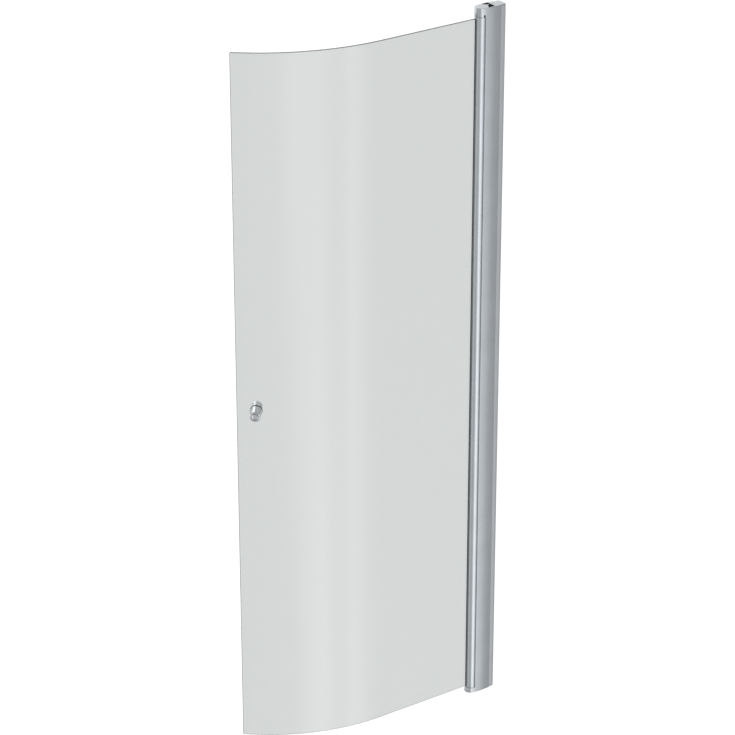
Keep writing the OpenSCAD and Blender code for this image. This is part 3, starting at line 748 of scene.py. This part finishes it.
def at_adjusters(name, fastener, finish, node):
    """The same fastener at each adjusting screw, with its own z pointing inwards out of the post."""
    mesh = row_of(name, fastener, ADJUST_COUNT, (-ADJUST_X, ADJUST_FACE, ADJUST_END),
                  (0, 0, (HEIGHT - 2 * ADJUST_END) / (ADJUST_COUNT - 1)), (-QUARTER_TURN, 0, 0), finish)
    piece(name, mesh, finish, "post_side", node)


cap_screw = countersunk("cap_screw", 3.58, 1.98, 2.0, 22, 1.3)
cap_screws = in_both_ends("end_cap_screws", cap_screw, LUG, (WEB_PORT[0] - LUG[0], WEB_PORT[1] - LUG[1], 0),
                          0.12, HEIGHT - 0.12)
piece("end_cap_screws", cap_screws, STEEL, "post_side", "cap_screws")

plate_screw = countersunk("plate_screw", 2.78, 1.73, 1.25, 12, 1.2)
boss_x = PIVOT_X + BOSS_DIST * math.cos(BOSS_ANGLE)
boss_y = BOSS_DIST * math.sin(BOSS_ANGLE)
plate_screws = in_both_ends("bar_plate_screws", plate_screw, (boss_x, -boss_y), (0, 2 * boss_y, 0),
                            BAR_Z[0] - PLATE_T, BAR_Z[1] + PLATE_T)
piece("bar_plate_screws", plate_screws, STEEL, "door", "plate_screws")

pan_head = screw("adjust_screw", [(2.9, 2.4), (3.4, 2.2), (3.65, 1.75), (3.7, 1.2), (3.7, 0.1), (3.6, 0),
                                  (2, 0), (2, -6.6), (1.4, -7.3)], 1.6, 1.4)
at_adjusters("adjusting_screws", pan_head, STEEL, "adjust_screws")

# nut plates with bevelled corners, inside the wall channel
shape = bmesh.new()
nut_outline = [(5, 6), (4, 7), (-4, 7), (-5, 6), (-5, -6), (-4, -7), (4, -7), (5, -6)]
nut_low = CHANNEL_HALF - CHANNEL_WALL - SEAT_GAP - NUT_T - ADJUST_FACE
nut_high = nut_low + NUT_T
nut_thread = [(NUT_HOLE_R + NUT_BEVEL, nut_low), (NUT_HOLE_R, nut_low + NUT_BEVEL),
              (NUT_HOLE_R, nut_high - NUT_BEVEL), (NUT_HOLE_R + NUT_BEVEL, nut_high)]
add_solid(shape, [level(nut_outline, nut_low), level(nut_outline, nut_high)],
          holes=[[ring(r, z, 32) for r, z in nut_thread]])
at_adjusters("clamping_nut_plates", finish_mesh("nut_plate", shape), STEEL, "nut_plates")

# snap caps: a shallow dome with a thumbnail notch in its rim, hollow over the screw head
shape = bmesh.new()
dome = [(5.0, 0), (5.0, 2.3), (4.93, 2.7), (4.7, 3.05), (4.3, 3.3), (3.5, 3.45), (2.4, 3.55), (1.2, 3.59),
        (0.4, 3.6)]
add_solid(shape, [ring(r, z, 64) for r, z in dome],
          sockets=[[ring(r, z, 48) for r, z in ((4.1, 0), (4.1, 2.4), (3.8, 2.7))]])
notch = bmesh.new()
add_solid(notch, [level([(4.2, -1.1), (5.4, -1.1), (5.4, 1.1), (4.2, 1.1)], -0.2),
                  level([(4.5, -0.9), (5.4, -0.9), (5.4, 0.9), (4.5, 0.9)], 0.7)])
snap_cap = carved("snap_cap", finish_mesh("snap_cap_blank", shape), finish_mesh("notch", notch))
at_adjusters("screw_snap_caps", snap_cap, CAP_PLASTIC, "screw_caps")


# Knobs
def knob_profile():
    """Radius and height pairs of the knob: a rounded foot, a slightly hollow taper, a rounded
    rim and a recess with a hollow wall."""
    foot = [(KNOB_BASE_R - KNOB_HEEL + KNOB_HEEL * math.sin(math.radians(a)),
             KNOB_HEEL - KNOB_HEEL * math.cos(math.radians(a))) for a in range(0, 91, 15)]
    taper = []
    for i in range(1, KNOB_STEPS + 1):
        t = i / KNOB_STEPS
        taper.append((KNOB_BASE_R + (KNOB_FRONT_R - KNOB_BASE_R) * t - KNOB_WAIST * math.sin(math.pi * t),
                      KNOB_HEEL + (KNOB_LENGTH - KNOB_RIM - KNOB_HEEL) * t))
    rim = [(KNOB_FRONT_R - KNOB_RIM + KNOB_RIM * math.cos(math.radians(a)),
            KNOB_LENGTH - KNOB_RIM + KNOB_RIM * math.sin(math.radians(a))) for a in range(12, 91, 13)]
    floor_r, floor_z = KNOB_DISH_R - KNOB_SLOPE, KNOB_LENGTH - KNOB_DISH
    recess = [(KNOB_DISH_R + 0.3, KNOB_LENGTH), (KNOB_DISH_R, KNOB_LENGTH - 0.06)]
    for i in range(KNOB_STEPS - 1, -1, -1):
        t = i / KNOB_STEPS
        recess.append((floor_r + KNOB_SLOPE * t, floor_z + KNOB_DISH * t * t))
    return foot + taper + rim + recess + [(0.5, floor_z)]


def at_knob(side):
    """Turns a shape so that its z points out of the glass at the knob, from the middle of the pane."""
    a = BEND_ANGLE - KNOB_EDGE / BEND_R
    middle_r = BEND_R - GLASS_T / 2
    return (Matrix.Translation((BEND_START - middle_r * math.sin(a), BEND_R - middle_r * math.cos(a), KNOB_Z))
            @ Matrix.Rotation(-a, 4, "Z") @ Matrix.Rotation(QUARTER_TURN, 4, "X")
            @ Matrix.Scale(side, 4, (0, 0, 1)) @ Matrix.Translation((0, 0, KNOB_FOOT)))


def knob(name, side):
    """The knob on the outer side, 1, or the inner side, -1, with the hole of the stud in its foot."""
    shape = bmesh.new()
    add_solid(shape, [ring(r, z, 96) for r, z in knob_profile()],
              sockets=[[ring(STUD_HOLE_R, z, 32) for z in (0, STUD_HOLE_DEPTH)]])
    shape.transform(at_knob(side))
    return finish_mesh(name, shape, 30)


# the inner one has the threaded hole of its grub screw, straight down
grub_hole = bmesh.new()
add_solid(grub_hole, [ring(GRUB_HOLE_R, z, 32) for z in GRUB_REACH])
grub_hole.transform(at_knob(-1) @ Matrix.Translation((0, 0, GRUB_UP)) @ Matrix.Rotation(QUARTER_TURN, 4, "X"))
inner_knob = carved("inner_knob", knob("inner_knob_blank", -1), finish_mesh("grub_hole", grub_hole), 30)
piece("outer_knob", knob("outer_knob", 1), CHROME, "door", "knob_outer")
piece("inner_knob", inner_knob, CHROME, "door", "knob_inner")

# Metal with softened edges
for part, width, material, body, slot in (
        ("post", 0.25, PROFILE, "post_side", "anodised"),
        ("wall_channel", 0.2, CHANNEL, "wall_side", "anodised"),
        ("pivot_bar", 0.25, PROFILE, "door", "anodised"),
        ("bar_top_plate", 0.15, CASTING, "door", "satin_silver"),
        ("bar_bottom_plate", 0.15, CASTING, "door", "satin_silver")):
    piece(part + "_finished", softened(part, width), material, body, part)

# Floor, with sizes in metres
FLOOR_Z, FLOOR_HALF = -0.15, 30
WHITE = 1.1                         # brightness of the floor and of the backdrop
corners = [(-FLOOR_HALF, -FLOOR_HALF), (FLOOR_HALF, -FLOOR_HALF), (FLOOR_HALF, FLOOR_HALF),
           (-FLOOR_HALF, FLOOR_HALF)]
floor_mesh = bpy.data.meshes.new("floor")
floor_mesh.from_pydata(level(corners, FLOOR_Z), [], [(0, 1, 2, 3)])
floor = put("floor", floor_mesh)
floor_paint, tree, output = new_material("floor_paint")
white = add(tree, "ShaderNodeEmission", None, {"Color": linear("#FFFFFF"), "Strength": WHITE})
# seen from below the floor is clear, so it doesn't hide the door
clear = add(tree, "ShaderNodeBsdfTransparent")
under = add(tree, "ShaderNodeNewGeometry").outputs["Backfacing"]
finish_material(tree, output, add(tree, "ShaderNodeMixShader",
                                  {"Fac": under, 1: white.outputs[0], 2: clear.outputs[0]}))
floor_mesh.materials.append(floor_paint)
floor.visible_glossy = False        # metals mirror the soft studio below instead

# The studio around the door, as rings of light by compass angle. The camera looks down, so the
# upright metal mirrors what lies below the horizon: HIGH is mirrored by the top of the door, LOW
# by its lower end, both grey with one bright soft strip. ABOVE gives the knobs their highlight.
# Straight down it is dark.
LOW = [(-180, 0.72), (-168, 1.02), (-157, 0.67), (-146, 0.6), (-134, 0.74), (-122, 0.82), (-111, 1.0),
       (-102, 2.0), (-93, 2.4), (-86, 1.6), (-80, 1.6), (-75, 2.1), (-70, 1.8), (-64, 1.18), (-58, 0.9),
       (-50, 0.71), (-44, 0.54), (-38, 0.44), (-20, 0.38), (20, 0.45), (60, 0.55), (95, 0.4), (150, 0.4),
       (180, 0.72)]
HIGH = [(-180, 0.95), (-168, 0.97), (-157, 0.74), (-146, 0.69), (-134, 0.75), (-126, 0.85), (-118, 0.95),
        (-109, 1.85), (-94, 1.85), (-86, 1.25), (-80, 1.3), (-75, 1.85), (-70, 1.5), (-66, 1.0), (-60, 0.73),
        (-50, 0.62), (-44, 0.57), (-38, 0.55), (20, 0.55), (60, 1.0), (105, 1.6), (140, 1.6), (155, 1.2),
        (168, 0.95), (180, 0.95)]
ABOVE = [(-180, 0.6), (-150, 0.45), (-90, 0.45), (-40, 0.8), (10, 0.95), (20, 1.05), (32, 1.2), (41, 1.2),
         (50, 1.05), (57, 1.15), (64, 1.9), (70, 2.8), (75, 3.4), (80, 3.4), (85, 2.0), (90, 1.1), (150, 1.0),
         (180, 0.6)]
BRIGHTEST = 3.5
STRAIGHT_DOWN = 0.15
world = bpy.data.worlds.new("studio")
bpy.context.scene.world = world
world.use_nodes = True
tree = world.node_tree
tree.nodes.clear()
# in a world this coordinate is the direction of the ray
direction = add(tree, "ShaderNodeSeparateXYZ", {0: add(tree, "ShaderNodeTexCoord").outputs["Generated"]})
azimuth = add(tree, "ShaderNodeMath", {0: direction.outputs["Y"], 1: direction.outputs["X"]},
              operation="ARCTAN2")
compass = add(tree, "ShaderNodeMapRange", {"Value": azimuth.outputs[0]},
              {"From Min": -math.pi, "From Max": math.pi, "To Min": 0.0, "To Max": 1.0})
light = add(tree, "ShaderNodeValue").outputs[0]
light.default_value = STRAIGHT_DOWN
# each ring takes over from what is below it between two heights, which are the z of the direction
for stops, start, end, change in ((LOW, -0.84, -0.70, "SMOOTHSTEP"), (HIGH, -0.50, -0.36, "LINEAR"),
                                  (ABOVE, -0.05, 0.1, "SMOOTHSTEP")):
    ramp = add(tree, "ShaderNodeValToRGB", {"Fac": compass.outputs[0]})
    while len(ramp.color_ramp.elements) < len(stops):
        ramp.color_ramp.elements.new(0.5)
    for element, (degrees, brightness) in zip(ramp.color_ramp.elements, stops):
        element.position = (degrees + 180) / 360
        element.color = [brightness / BRIGHTEST] * 3 + [1.0]
    of_ring = add(tree, "ShaderNodeMath", {0: ramp.outputs["Color"]}, {1: BRIGHTEST}, operation="MULTIPLY")
    rise = add(tree, "ShaderNodeMapRange", {"Value": direction.outputs["Z"]},
               {"From Min": start, "From Max": end}, interpolation_type=change)
    light = add(tree, "ShaderNodeMix", {"Factor": rise.outputs[0], 2: light, 3: of_ring.outputs[0]},
                data_type="FLOAT").outputs[0]
# the rings are only mirrored: what is seen directly or through the glass is as white as the floor
path = add(tree, "ShaderNodeLightPath").outputs
passing = add(tree, "ShaderNodeMath", {0: path["Is Camera Ray"], 1: path["Is Transmission Ray"]},
              operation="MAXIMUM")
bounces = add(tree, "ShaderNodeMath", {0: path["Glossy Depth"], 1: path["Diffuse Depth"]}, operation="ADD")
unmirrored = add(tree, "ShaderNodeMath", {0: bounces.outputs[0]}, {1: 0.5}, operation="LESS_THAN")
seen = add(tree, "ShaderNodeMath", {0: passing.outputs[0], 1: unmirrored.outputs[0]}, operation="MULTIPLY")
strength = add(tree, "ShaderNodeMix", {"Factor": seen.outputs[0], 2: light}, {3: WHITE}, data_type="FLOAT")
background = add(tree, "ShaderNodeBackground", {"Strength": strength.outputs[0]}, {"Color": (1, 1, 1, 1)})
add(tree, "ShaderNodeOutputWorld", {"Surface": background.outputs[0]})

# Camera, outside and above the door, in metres
CAMERA_PLACE = (-4.3911, -5.8164, 4.3920)
CAMERA_HEADING = (0.567, 0.824, 0)
CAMERA_PITCH = math.radians(25.31)  # downwards
CAMERA_SHIFT = (-0.00615, 0.0007)
camera_data = bpy.data.cameras.new("camera")
camera_data.lens, camera_data.sensor_width = 152.0, 36.0
camera_data.shift_x, camera_data.shift_y = CAMERA_SHIFT
camera_data.clip_end = 200.0
camera = put("camera", camera_data)
camera.location = CAMERA_PLACE
ahead = Vector(CAMERA_HEADING).normalized() * math.cos(CAMERA_PITCH)
aim = ahead - Vector((0, 0, math.sin(CAMERA_PITCH)))
camera.rotation_euler = aim.to_track_quat("-Z", "Y").to_euler()
bpy.context.scene.camera = camera

bpy.context.scene.view_settings.view_transform = "Standard"
